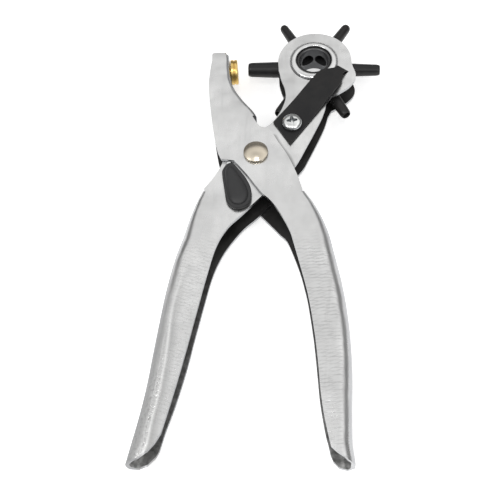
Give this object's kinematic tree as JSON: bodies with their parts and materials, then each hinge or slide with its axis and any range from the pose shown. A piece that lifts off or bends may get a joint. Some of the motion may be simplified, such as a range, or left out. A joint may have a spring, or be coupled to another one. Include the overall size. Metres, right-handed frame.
{
  "type": "rotary hole punch",
  "caption": "Hand pliers of folded sheet steel with a rotating turret of hollow punches that close onto a brass anvil.",
  "frame": {"origin": "centre of the flat rear head of the pivot rivet, on the surface that the tool lies on", "axes": "+Z along the pivot axis, up through the front face; +Y along the tool's length towards the head; +X towards the punch head's side"},
  "size_m": [0.0999, 0.2252, 0.021],
  "materials": {
    "nickel_steel": "satin nickel plated",
    "spring_steel": "bare spring wire",
    "brass": "turned",
    "black_oxide": "black oxide, satin",
    "black_plastic": "moulded, matt"
  },
  "bodies": {
    "anvil_side": {"outer_lever": "nickel_steel", "pivot_rivet": "nickel_steel", "anvil_pad": "brass"},
    "punch_side": {"inner_lever": "nickel_steel", "return_spring": "spring_steel", "collar_front": "nickel_steel", "collar_rear": "nickel_steel", "index_spring": "black_oxide", "index_screw": "nickel_steel", "index_nut": "nickel_steel", "latch_pin": "nickel_steel"},
    "turret": {"turret_hub": "black_oxide", "punch_tube_1": "black_oxide", "punch_tube_2": "black_oxide", "punch_tube_3": "black_oxide", "punch_tube_4": "black_oxide", "punch_tube_5": "black_oxide", "punch_tube_6": "black_oxide"},
    "latch": {"latch_body": "black_plastic", "latch_catch": "nickel_steel"}
  },
  "joints": [
    {"name": "handles_pivot", "type": "hinge", "parent": "anvil_side", "child": "punch_side", "pos_m": [0, 0, 0.01], "axis": [0, 0, 1], "range_deg": [0, 5], "stiffness_Nm_per_rad": 6, "springref_deg": -8.59},
    {"name": "turret_spin", "type": "hinge", "parent": "punch_side", "child": "turret", "pos_m": [0.0248, 0.055, 0.01], "axis": [0, 0, 1], "continuous": true},
    {"name": "latch_swing", "type": "hinge", "parent": "punch_side", "child": "latch", "pos_m": [-0.007, -0.023, 0.01], "axis": [0, 0, 1], "range_deg": [0, 14]}
  ]
}
